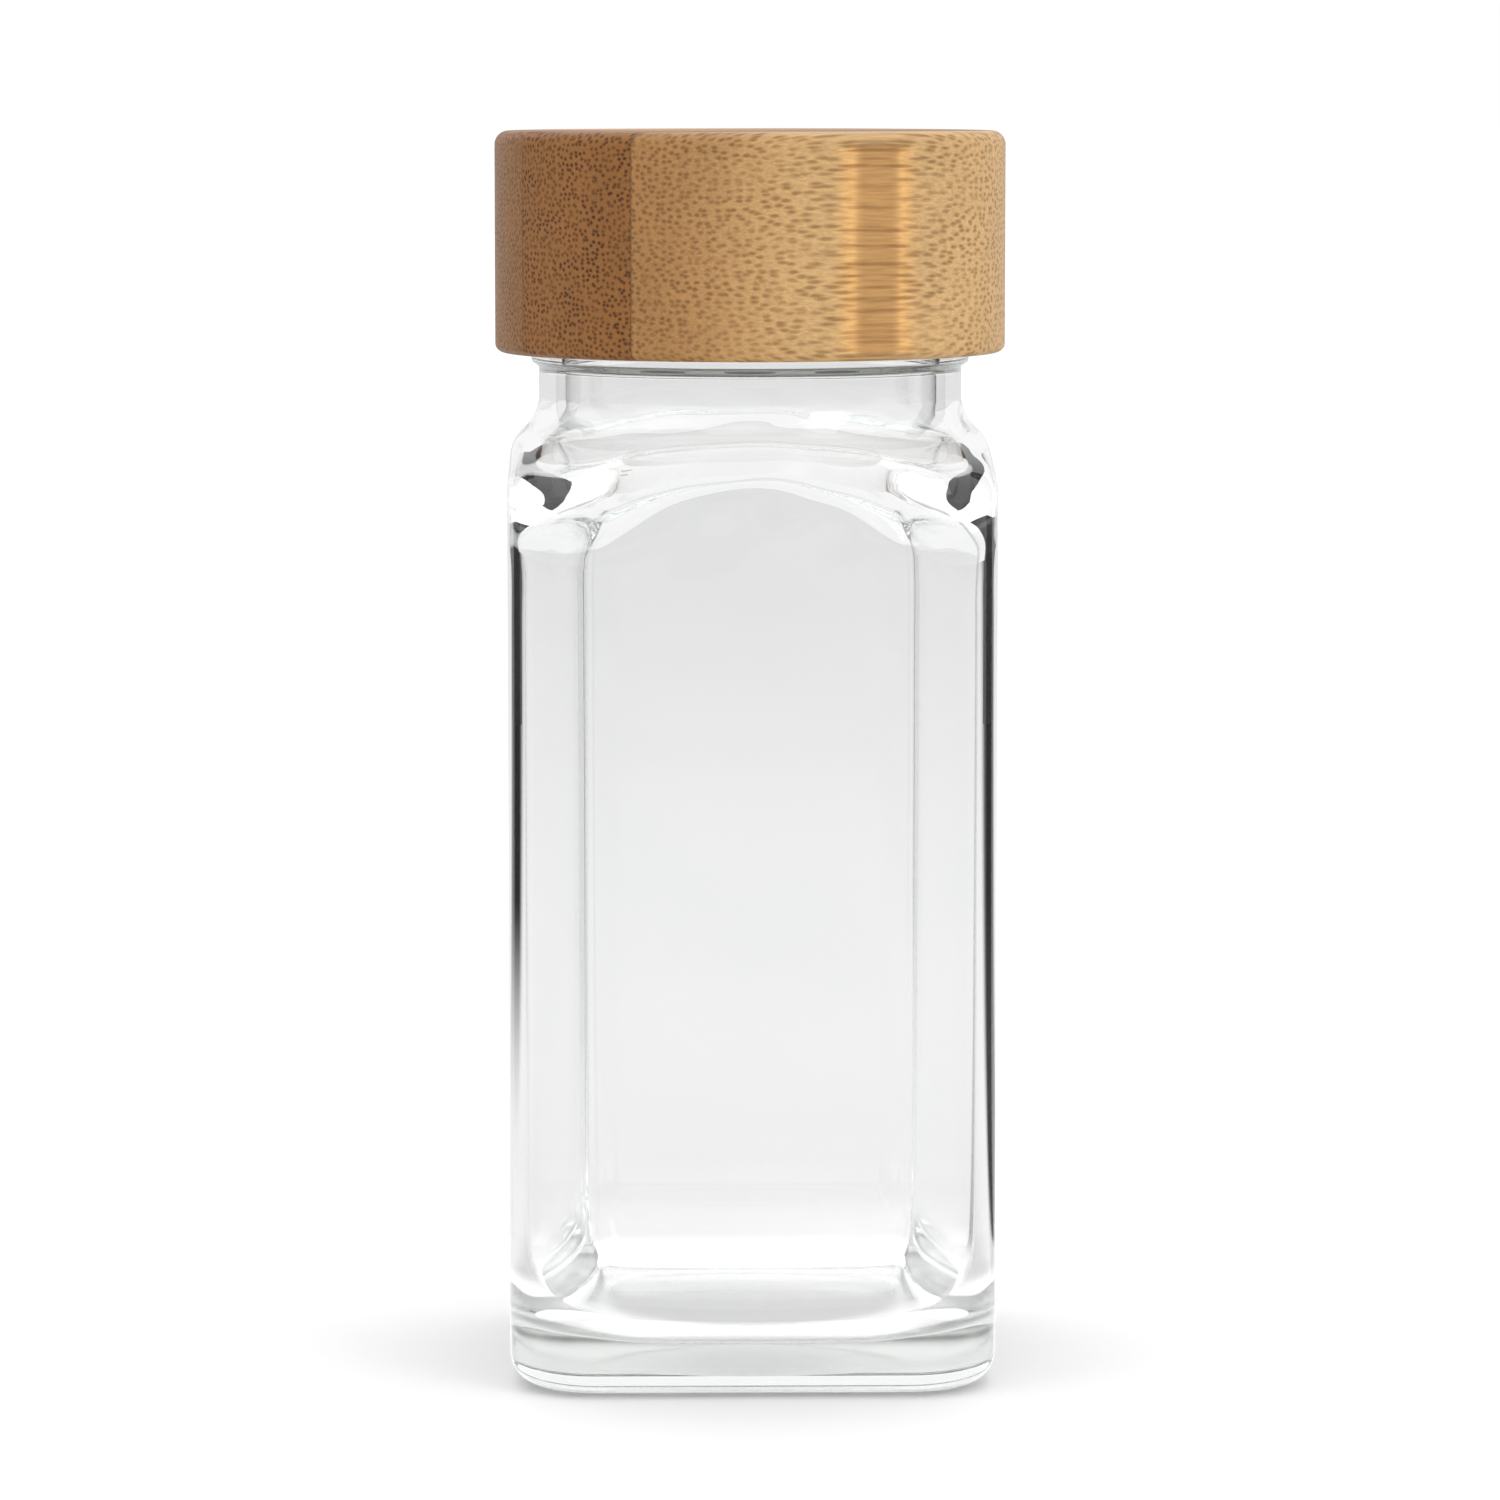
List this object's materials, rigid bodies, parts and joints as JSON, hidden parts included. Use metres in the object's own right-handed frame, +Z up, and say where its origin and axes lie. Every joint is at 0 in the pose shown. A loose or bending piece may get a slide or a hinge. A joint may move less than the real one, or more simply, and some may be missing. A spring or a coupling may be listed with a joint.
{
  "type": "spice jar",
  "caption": "Clear square glass spice jar with rounded corners, a round screw neck and a turned laminated bamboo lid with a threaded liner, seal and snap-in shaker.",
  "frame": {"origin": "middle of the base, on the plane it stands on", "axes": "+Z up along the jar and neck axis, X and Y square to the flat glass faces, -Y the face shown to the viewer"},
  "size_m": [0.048, 0.048, 0.1164],
  "materials": {
    "clear_glass": "clear, fire polished, faint grey-green in the thick base",
    "shaker_plastic": "moulded natural white plastic",
    "seal_rubber": "soft white silicone",
    "liner_plastic": "moulded white plastic",
    "bamboo_light": "turned and oiled caramel bamboo, golden where the fibres lie along the surface",
    "bamboo_dark": "turned and oiled darker caramel bamboo",
    "bamboo_mid": "turned and oiled caramel bamboo",
    "bamboo_pale": "turned and oiled pale caramel bamboo"
  },
  "bodies": {
    "jar": {"glass_jar": "clear_glass", "shaker_insert": "shaker_plastic"},
    "seal": {"seal_disc": "seal_rubber"},
    "lid": {"threaded_liner": "liner_plastic", "bamboo_strip_1": "bamboo_light", "bamboo_strip_2": "bamboo_dark", "bamboo_strip_3": "bamboo_mid", "bamboo_strip_4": "bamboo_pale"}
  },
  "joints": [
    {"name": "lid_rise", "type": "slide", "parent": "jar", "child": "seal", "axis": [0, 0, 1], "range_m": [0, 0.021]},
    {"name": "lid_turn", "type": "hinge", "parent": "seal", "child": "lid", "pos_m": [0, 0, 0.1], "axis": [0, 0, 1], "range_deg": [0, 1800]}
  ],
  "couplings": [
    {"joint": "lid_rise", "follows": "lid_turn", "m_per_rad": 0.00066845}
  ]
}
